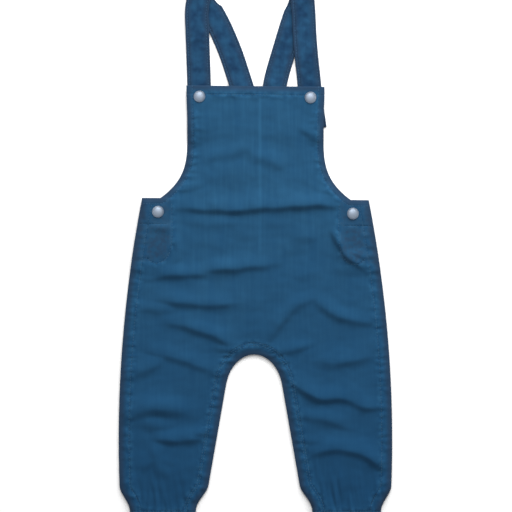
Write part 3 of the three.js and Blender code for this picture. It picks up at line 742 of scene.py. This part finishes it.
def panel_sheet(top, step, arch_steps, edge, shift):
    """Points and faces of a flat panel: sections across the body, halves joined above the crotch."""
    rows = levels(top, step, arch_steps)
    foot, main, across = shares(step)
    index, points, faces = {}, [], []

    def point(x, y):
        key = (round(x, 3), round(y, 3))
        if key not in index:
            index[key] = len(points)
            points.append((x, y))
        return index[key]

    for side in (-1, 1):
        grid = []
        for y in rows:
            high = y > SIDE_TOP
            centre = shift(y) if high else float(middle(y))
            inner = centre + side * float(inner_edge(y))
            outer = centre + side * float(edge(y)) if high else side * float(side_seam(y))
            share = np.minimum(1.0, across / foot) if high else across
            grid.append([point(x, float(y)) for x in mix(inner, outer, share)])
        for y, lower, upper in zip(rows[1:], grid, grid[1:]):
            last = main if y > SIDE_TOP else len(across) - 1
            for k in range(last):
                a, b, c, d = lower[k], lower[k + 1], upper[k + 1], upper[k]
                loop = (a, b, c, d) if side > 0 else (d, c, b, a)
                corners = list(dict.fromkeys(loop))
                if len(corners) > 2:
                    faces.append(corners)
    return np.array(points), faces


def open_edges(faces):
    """Pairs of points that only one face joins."""
    seen = {}
    for loop in faces:
        for a, b in zip(loop, loop[1:] + loop[:1]):
            key = (min(a, b), max(a, b))
            seen[key] = seen.get(key, 0) + 1
    return [pair for pair, times in seen.items() if times == 1]


def free_edge(faces, count):
    """Marks the points on the sheet's boundary."""
    rim = np.zeros(count, bool)
    rim[[i for pair in open_edges(faces) for i in pair]] = True
    return rim


def grid_faces(rows, columns, flip):
    """Four-cornered faces over a grid of points."""
    faces = []
    for r in range(rows - 1):
        for k in range(columns - 1):
            a = r * columns + k
            loop = [a, a + 1, a + columns + 1, a + columns]
            faces.append(loop[::-1] if flip else loop)
    return faces


def faces_without(faces, inside):
    return [loop for loop in faces if not all(inside[i] for i in loop)]


def drop_unused(faces):
    """The points that faces still use, and the faces numbered by them."""
    used = sorted({i for loop in faces for i in loop})
    renumber = {old: new for new, old in enumerate(used)}
    return used, [[renumber[i] for i in loop] for loop in faces]


def point_normals(points, faces):
    """Normals of the points of a sheet, from the faces around them."""
    normals = np.zeros_like(points)
    for loop in faces:
        corners = points[loop]
        normal = np.cross(corners[2] - corners[0], corners[-1] - corners[1])
        for i in loop:
            normals[i] += normal
    return normals / np.linalg.norm(normals, axis=1)[:, None]


def shell(sheet, faces, rim, thickness, edge, dent=0.0):
    """A sheet as a thin closed wall, whose two sides meet in a rounded edge at the rim."""
    normals = point_normals(sheet, faces)
    round_over = thickness * 0.75
    inland = np.clip(edge / round_over, 0.0, 1.0)
    half = thickness / 2 * np.sqrt(1 - (1 - inland) ** 2) - dent
    half[rim] = 0.0
    upper = sheet + normals * half[:, None]
    lower = sheet - normals * half[:, None]
    under = np.where(rim, np.arange(len(sheet)), -1)
    under[~rim] = len(sheet) + np.arange((~rim).sum())
    vertices = np.vstack([upper, lower[~rim]])
    loops = [list(loop) for loop in faces]
    loops += [[int(under[i]) for i in reversed(loop)] for loop in faces]
    source = np.concatenate([np.arange(len(sheet)), np.flatnonzero(~rim)])
    return vertices, loops, source


def cut_holes(points, faces, radius):
    """Leaves out the faces that a press stud's shank goes through."""
    kept = []
    for loop in faces:
        x, y = points[loop].mean(axis=0)
        if all(math.hypot(x - stud["x"], y - stud["y"]) > radius for stud in STUDS.values()):
            kept.append(loop)
    return drop_unused(kept)


def outline_of(points, faces):
    """Points all along the outer edge, 0.5 mm apart or less."""
    spots = []
    for a, b in open_edges(faces):
        count = max(2, int(np.linalg.norm(points[a] - points[b]) / 0.5) + 1)
        spots.extend(mix(points[a], points[b], t) for t in np.linspace(0, 1, count))
    return spots


# ---------------------------------------------------------------- stitching
def stitch_tree():
    """Geometry nodes that set stitches along lines: one small pill of thread at each step."""
    tree = bpy.data.node_groups.new("row of stitches", "GeometryNodeTree")
    sockets = {}
    for name, kind, way in (
        ("Lines", "NodeSocketGeometry", "INPUT"), ("Pitch", "NodeSocketFloat", "INPUT"),
        ("Length", "NodeSocketFloat", "INPUT"), ("Thread", "NodeSocketFloat", "INPUT"),
        ("Seed", "NodeSocketInt", "INPUT"), ("Material", "NodeSocketMaterial", "INPUT"),
        ("Stitches", "NodeSocketGeometry", "OUTPUT"),
    ):
        sockets[name] = tree.interface.new_socket(name, in_out=way, socket_type=kind).identifier
    given = add_node(tree, "NodeGroupInput").outputs
    curve = add_node(tree, "GeometryNodeMeshToCurve", {"Mesh": given["Lines"]})
    spaced = add_node(tree, "GeometryNodeResampleCurve", {
        "Curve": curve.outputs[0], "Length": given["Pitch"]}, mode="LENGTH")
    tangent = add_node(tree, "GeometryNodeInputTangent").outputs[0]
    turn = add_node(tree, "FunctionNodeAlignRotationToVector", {"Vector": tangent}, axis="X")
    pill = add_node(tree, "GeometryNodeMeshUVSphere", {"Segments": 6, "Rings": 5, "Radius": 0.5})
    size = add_node(tree, "ShaderNodeCombineXYZ", {
        "X": given["Length"], "Y": given["Thread"], "Z": given["Thread"]})
    thread = add_node(tree, "GeometryNodeTransform", {
        "Geometry": pill.outputs["Mesh"], "Scale": size.outputs[0]})
    uneven = add_node(tree, "FunctionNodeRandomValue", {
        "Min": (0.86, 0.85, 0.85), "Max": (1.06, 1.12, 1.1), "Seed": given["Seed"]},
        data_type="FLOAT_VECTOR")
    placed = add_node(tree, "GeometryNodeInstanceOnPoints", {
        "Points": spaced.outputs[0], "Instance": thread.outputs[0], "Rotation": turn.outputs[0],
        "Scale": uneven.outputs[0]})
    real = add_node(tree, "GeometryNodeRealizeInstances", {"Geometry": placed.outputs[0]})
    finished = add_node(tree, "GeometryNodeSetMaterial", {
        "Geometry": real.outputs[0], "Material": given["Material"]})
    add_node(tree, "NodeGroupOutput", {"Stitches": finished.outputs[0]})
    return tree, sockets


def sew(name, lines):
    """Stitches along the lines, as one plain mesh. Lines are points in garment millimetres."""
    settings = bpy.context.scene.dungarees_stitching
    vertices, links = [], []
    for line in lines:
        start = len(vertices)
        vertices.extend(place(line))
        links.extend((start + i, start + i + 1) for i in range(len(line) - 1))
    mesh = bpy.data.meshes.new(name)
    mesh.from_pydata([tuple(v) for v in vertices], links, [])
    piece = bpy.data.objects.new(name, mesh)
    bpy.context.scene.collection.objects.link(piece)
    tree, sockets = stitch_tree()
    modifier = piece.modifiers.new("stitches", "NODES")
    modifier.node_group = tree
    modifier[sockets["Pitch"]] = settings.pitch
    modifier[sockets["Length"]] = settings.length
    modifier[sockets["Thread"]] = settings.thread
    modifier[sockets["Seed"]] = settings.seed
    modifier[sockets["Material"]] = cached("spun sewing thread", sewing_thread, settings.colour)
    ready = piece.evaluated_get(bpy.context.evaluated_depsgraph_get())
    stitched = bpy.data.meshes.new_from_object(ready)
    piece.modifiers.remove(modifier)
    piece.data = stitched
    stitched.polygons.foreach_set("use_smooth", [True] * len(stitched.polygons))
    if not stitched.polygons:
        raise RuntimeError(name + " has no stitches")
    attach(piece, "root")
    return piece


def clear_of_studs(line, radius):
    """Stretches of a line that no press stud covers."""
    parts, part = [], []
    for x, y in line:
        if all(math.hypot(x - s["x"], y - s["y"]) > radius for s in STUDS.values()):
            part.append((x, y))
        else:
            parts.append(part)
            part = []
    return [part for part in (*parts, part) if len(part) > 3]


def sew_panel(panel, rows, beneath=False):
    """Rows of stitches dropped onto a panel's upper side, or raised to its lower side."""
    mesh = panel.data
    tree = BVHTree.FromPolygons([v.co for v in mesh.vertices], [p.vertices for p in mesh.polygons])
    way = 1 if beneath else -1
    proud = bpy.context.scene.dungarees_stitching.thread * 1000 * (0.5 if beneath else 0.12)
    lines = []
    for row in rows:
        for part in clear_of_studs(row, STITCHES_CLEAR_STUD):
            points = []
            for x, y in part:
                spot = Vector(place((x, float(lay(x, y)), -20.0 if beneath else 50.0)))
                hit = tree.ray_cast(spot, Vector((0, 0, way)))[0]
                if hit is not None:
                    points.append((x, float(lay(x, y)), hit.z * 1000 + proud))
            if len(points) > 3:
                lines.append(points)
    return sew(panel.name + "_stitches", lines)


# ---------------------------------------------------------------- the pieces
def cloth_piece(name, flat, faces, height, seam_of, hole):
    """A panel of denim from its flat cut: raised to its height and given its thickness."""
    edge = distance_to(flat[:, 0], flat[:, 1], outline_of(flat, faces))
    seam = seam_of(flat, edge)
    kept, faces = cut_holes(flat, faces, hole)
    x, y = flat[kept].T
    edge, seam = edge[kept], seam[kept]
    sheet = np.column_stack([x, lay(x, y), height(x, y, edge, seam)])
    rim = free_edge(faces, len(sheet))
    thickness = bpy.context.scene.dungarees_cloth.thickness * 1000
    vertices, loops, source = shell(sheet, faces, rim, thickness, edge,
                                    dent=0.16 * np.exp(-(seam / 1.0) ** 2))
    on_front = float(name == "front")
    # Painted highlight: a faint lighter line down the bib, along a pressed crease.
    press = 0.5 * np.exp(-((x - CREASE_HIGHLIGHT_X) / 1.5) ** 2) * ramp(108, 125, y) * on_front
    double = ramp(0.0, 2.5, within_placket(x, y)) * on_front
    return make_object(name, place(vertices), loops, body_denim(), {
        "edge": edge[source], "seam": seam[source], "press": press[source], "double": double[source]})


class DUNGAREES_OT_front(bpy.types.Operator):
    """Make the front panel: bib, belly and both leg fronts, with its creases and stitching"""

    bl_idname = "dungarees.front"
    bl_label = "Front panel"

    def execute(self, context):
        step = FRONT_STEP
        flat, faces = panel_sheet(BIB_TOP, step, 34, bib_edge, lambda y: 0.0)
        rows = front_rows()
        piece = cloth_piece("front", flat, faces, front_height,
                            lambda f, e: distance_to(f[:, 0], f[:, 1], np.vstack(rows)), FRONT_HOLE)
        dress(piece, "denim", "front_panel")
        sew_panel(piece, rows)
        return {"FINISHED"}


class DUNGAREES_OT_back(bpy.types.Operator):
    """Make the back panel, flat on the floor, with its narrowing top and its stitching"""

    bl_idname = "dungarees.back"
    bl_label = "Back panel"

    def execute(self, context):
        flat, faces = panel_sheet(BACK_TOP, BACK_STEP, 24, back_edge, back_shift)
        rows = back_rows()
        piece = cloth_piece("back", flat, faces, back_height,
                            lambda f, e: distance_to(f[:, 0], f[:, 1], np.vstack(rows)), 0.0)
        dress(piece, "denim", "back_panel")
        sew_panel(piece, rows, beneath=True)
        return {"FINISHED"}


class DUNGAREES_OT_underlaps(bpy.types.Operator):
    """Make the underlap at each side opening, beneath the front"""

    bl_idname = "dungarees.underlaps"
    bl_label = "Underlaps"

    def execute(self, context):
        ys = np.append(stretch(PLACKET_BOTTOM, SIDE_TOP - 1, UNDERLAP_STEP, True, True), SIDE_TOP - 1)
        inner = np.append(stretch(0.0, PLACKET_WIDTH, UNDERLAP_STEP, True, True), PLACKET_WIDTH)
        for side, hand in ((-1, "left"), (1, "right")):
            x = side * (side_seam(ys)[:, None] - PLACKET_INSET - inner[None, :])
            flat = np.column_stack([x.ravel(), np.repeat(ys, len(inner))])
            faces = grid_faces(len(ys), len(inner), side > 0)
            piece = cloth_piece(
                "underlap_cloth_" + hand, flat, faces,
                lambda px, py, e, s: to_studs(px, py, np.full(len(px), UNDERLAP_Z), "under"),
                lambda f, e: np.abs(e - 3.0), UNDERLAP_HOLE)
            dress(piece, "denim", "underlap_" + hand)
        return {"FINISHED"}


def strap_stations(strap):
    """Middle and half width vector of a strap's cloth at each place along it."""
    fold = np.array([math.cos(strap["crease"]), math.sin(strap["crease"]), 0.0])
    up = np.array([-fold[1], fold[0], 0.0])
    shoulder = np.array(strap["back"][-1], float)
    runs = []
    for key in ("back", "front"):
        line = even(through(strap[key], 12), STRAP_STEP)
        line[:, 2] = np.maximum(line[:, 2], ON_FLOOR)
        run = np.gradient(line[:, :2], axis=0)
        run /= np.linalg.norm(run, axis=1)[:, None]
        part = []
        for at, (rx, ry) in zip(line, run):
            square = np.array([ry, -rx, 0.0])
            square *= 1 if square @ fold > 0 else -1
            far = float(ramp(6.0, 34.0, np.linalg.norm(at - shoulder)))
            across = mix(fold, square, far)
            across /= np.linalg.norm(across)
            part.append((at, across * STRAP_WIDTH / 2 / max(0.9, abs(float(across @ square)))))
        runs.append(part)
    rolls = []
    for turn in np.linspace(0, math.pi, 14)[1:-1]:
        out = math.sin(turn) * STRAP_ROLL * STRAP_BULGE
        at = shoulder + up * out + (0.0, 0.0, STRAP_ROLL * (1 - math.cos(turn)))
        rolls.append((at, fold * STRAP_WIDTH / 2 / 0.97))
    return runs[0], rolls, runs[1]


class DUNGAREES_OT_straps(bpy.types.Operator):
    """Make both shoulder straps, each a flat stitched band turned over at the shoulder"""

    bl_idname = "dungarees.straps"
    bl_label = "Shoulder straps"

    def execute(self, context):
        half_width = STRAP_WIDTH / 2
        inward = np.array([0.0, 0.2, 0.6, 1.2, 2.0, STRAP_STITCH_IN, 3.6, 5.0, 6.6, 8.3, 10.0, 11.6])
        places = np.concatenate([inward - half_width, [0.0], (half_width - inward)[::-1]]) / half_width
        for number, (name, strap) in enumerate(STRAPS.items()):
            parts = strap_stations(strap)
            middles, sides = (np.array(column) for column in zip(*(s for part in parts for s in part)))
            run = np.concatenate([[0.0], np.cumsum(np.linalg.norm(np.diff(middles, axis=0), axis=1))])
            sheet = (middles[:, None] + sides[:, None] * places[None, :, None]).reshape(-1, 3)
            flat = np.column_stack([np.tile(places * half_width, len(run)), np.repeat(run, len(places))])
            soft = noise_at(flat[:, 0], flat[:, 1], 11.0, 6.5, 4.0 + number)
            fine = noise_at(flat[:, 0], flat[:, 1], 5.0, 4.2, 8.0 + number)
            ends = np.minimum(flat[:, 1], run[-1] - flat[:, 1])
            edge = np.minimum(half_width - np.abs(flat[:, 0]), ends)
            sheet[:, 2] += (0.9 * np.maximum(0.0, soft) + 0.35 * np.maximum(0.0, fine)) * ramp(0.5, 4.0, edge)
            faces = grid_faces(len(run), len(places), False)
            stud = STUDS[strap["stud"]]
            lying = sheet[:, 2] > -1
            lying[: len(places) * (len(parts[0]) + len(parts[1]))] = False
            near = np.hypot(sheet[:, 0] - stud["x"], sheet[:, 1] - stud["y"]) < STRAP_HOLE
            kept, holed = drop_unused(faces_without(faces, lying & near))
            edge = edge[kept]
            seam = np.abs(edge - STRAP_STITCH_IN)
            points = sheet[kept]
            points[:, 1] = lay(points[:, 0], points[:, 1])
            rim = free_edge(holed, len(points))
            vertices, loops, source = shell(points, holed, rim, STRAP_THICK, edge,
                                            dent=0.26 * np.exp(-(seam / 0.8) ** 2))
            piece = make_object(name + "_band", place(vertices), loops, strap_denim(),
                                {"edge": edge[source], "seam": seam[source]})
            dress(piece, "strap_denim", name)

            share = 1 - STRAP_STITCH_IN / half_width
            lines = []
            for part, z in (
                (parts[0][4:-3], 0.16 - STRAP_THICK / 2 + 0.2),
                (parts[0][4:-3], STRAP_THICK / 2 - 0.16),
                (parts[2][3:-4], STRAP_THICK / 2 - 0.16),
            ):
                for side in (-share, share):
                    row = [at + across * side + (0, 0, z) for at, across in part]
                    lines.append([(x, float(lay(x, y)), z) for x, y, z in row])
            stitches = sew(name + "_stitches", lines)
        return {"FINISHED"}


def turned(name, profile, x, y, z, segments, material):
    """A solid of revolution about an upright line, closed on its axis at both ends."""
    vertices, loops = [], []
    rings = []
    for r, height in profile:
        if r == 0:
            rings.append([len(vertices)] * segments)
            vertices.append((x, y, z + height))
            continue
        rings.append([len(vertices) + k for k in range(segments)])
        for k in range(segments):
            turn = 2 * math.pi * k / segments
            vertices.append((x + r * math.cos(turn), y + r * math.sin(turn), z + height))
    for lower, upper in zip(rings, rings[1:]):
        for k in range(segments):
            n = (k + 1) % segments
            loops.append(list(dict.fromkeys((lower[k], lower[n], upper[n], upper[k]))))
    return make_object(name, place(vertices), loops, material)


def rounded(profile, radius, steps=4):
    """A profile with its inner corners rounded."""
    points = [np.array(p, float) for p in profile]
    made = [tuple(points[0])]
    for before, corner, after in zip(points, points[1:], points[2:]):
        a, b = before - corner, after - corner
        reach = min(radius, np.linalg.norm(a) / 2.2, np.linalg.norm(b) / 2.2)
        start = corner + a / np.linalg.norm(a) * reach
        end = corner + b / np.linalg.norm(b) * reach
        for t in np.linspace(0, 1, steps + 1):
            made.append(tuple((1 - t) ** 2 * start + 2 * t * (1 - t) * corner + t**2 * end))
    return made + [tuple(points[-1])]


class DUNGAREES_OT_press_studs(bpy.types.Operator):
    """Make the four press studs, each a domed cap unit and the stud unit beneath it"""

    bl_idname = "dungarees.press_studs"
    bl_label = "Press studs"

    def execute(self, context):
        s = context.scene.dungarees_studs
        metal = cached("nickel plated brass", nickel_plate, s.nickel)
        radius = s.cap_radius * 1000
        for name, stud in STUDS.items():
            y = float(lay(stud["x"], stud["y"]))
            face = CLOTH / 2 + GAP
            foot = -face - SOCKET
            crown = radius - 0.7
            dome = [(crown * math.cos(turn), face + CAP_RIM + DOME_HEIGHT * math.sin(turn))
                    for turn in np.linspace(0.12, math.pi / 2, 14)]
            dome[-1] = (0.0, face + CAP_RIM + DOME_HEIGHT)
            cap = [(0, foot + 0.9), (CAVITY, foot + 0.9), (CAVITY, foot), (SOCKET_RADIUS, foot),
                   (SOCKET_RADIUS, -face), (CAP_SHANK, -face), (CAP_SHANK, face), (radius - 0.4, face),
                   (radius, face + 0.3), *dome]
            bottom = stud["layer"] / 2 + GAP
            post = [(0, -bottom - PLATE_THICK), (PLATE_RADIUS, -bottom - PLATE_THICK),
                    (PLATE_RADIUS, -bottom), (POST_SHANK, -bottom), (POST_SHANK, bottom), (HEAD, bottom),
                    (HEAD, bottom + HEAD_HEIGHT), (0, bottom + HEAD_HEIGHT)]
            for half, node, profile, curve, z in (
                ("_dome", "_cap", cap, 0.25, stud["cloth"]), ("_post", "_stud", post, 0.15, stud["under"]),
            ):
                piece = turned(name + half, rounded(profile, curve), stud["x"], y, z, s.segments, metal)
                dress(piece, "press_stud", name + node)
        return {"FINISHED"}


class DUNGAREES_OT_stage(bpy.types.Operator):
    """Make the pale floor, the soft studio light and the camera straight above"""

    bl_idname = "dungarees.stage"
    bl_label = "Stage"

    def execute(self, context):
        scene = context.scene
        s = scene.dungarees_stage
        reach = 6.0
        corners = [(-reach, -reach, 0), (reach, -reach, 0), (reach, reach, 0), (-reach, reach, 0)]
        floor = make_object("floor", corners, [[0, 1, 2, 3]], plain_floor("matt studio board", s.floor))

        world = bpy.data.worlds.new("studio")
        world.use_nodes = True
        sky = world.node_tree.nodes["Background"]
        sky.inputs["Color"].default_value = (1.0, 1.0, 1.0, 1.0)
        sky.inputs["Strength"].default_value = s.sky
        scene.world = world

        for name, spot, size, power in (
            ("key", (0.35, 1.45, 0.76), (1.8, 0.8), s.key),
            ("overhead", (0.0, 0.95, 1.5), (0.8, 0.6), s.overhead),
        ):
            lamp = bpy.data.lights.new(name, "AREA")
            lamp.shape = "RECTANGLE"
            lamp.size, lamp.size_y = size
            lamp.energy = power
            light = bpy.data.objects.new(name, lamp)
            light.location = spot
            light.rotation_euler = (-light.location).to_track_quat("-Z", "Y").to_euler()
            light.visible_glossy = name == "overhead"  # no hard glint from the long light
            scene.collection.objects.link(light)

        lens = bpy.data.cameras.new("camera")
        lens.sensor_width = 36.0
        lens.lens = lens.sensor_width * s.camera_height / s.view_width
        lens.clip_end = 50.0
        camera = bpy.data.objects.new("camera", lens)
        camera.location = (0.0006, (108.35 + SHIFT_Y) / 1000, s.camera_height)
        scene.collection.objects.link(camera)
        scene.camera = camera
        scene.view_settings.view_transform = "Standard"
        return {"FINISHED"}


STEPS = (
    DUNGAREES_OT_back,
    DUNGAREES_OT_underlaps,
    DUNGAREES_OT_straps,
    DUNGAREES_OT_front,
    DUNGAREES_OT_press_studs,
    DUNGAREES_OT_stage,
)


class DUNGAREES_PT_panel(bpy.types.Panel):
    """Lists what the dungarees are made of"""

    bl_idname = "DUNGAREES_PT_panel"
    bl_label = "Dungarees"
    bl_space_type = "VIEW_3D"
    bl_region_type = "UI"
    bl_category = "Dungarees"

    def draw(self, context):
        for step in STEPS:
            self.layout.operator(step.bl_idname)


SETTINGS = {
    "dungarees_cloth": DungareesCloth,
    "dungarees_stitching": DungareesStitching,
    "dungarees_studs": DungareesStuds,
    "dungarees_stage": DungareesStage,
}
CLASSES = (*SETTINGS.values(), *STEPS, DUNGAREES_PT_panel)


def register():
    for cls in CLASSES:
        bpy.utils.register_class(cls)
    for name, group in SETTINGS.items():
        setattr(bpy.types.Scene, name, bpy.props.PointerProperty(type=group))


def unregister():
    for name in SETTINGS:
        delattr(bpy.types.Scene, name)
    for cls in reversed(CLASSES):
        bpy.utils.unregister_class(cls)


def main():
    register()
    for step in STEPS:
        group, name = step.bl_idname.split(".")
        getattr(getattr(bpy.ops, group), name)()
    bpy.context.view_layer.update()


if __name__ == "__main__":
    main()
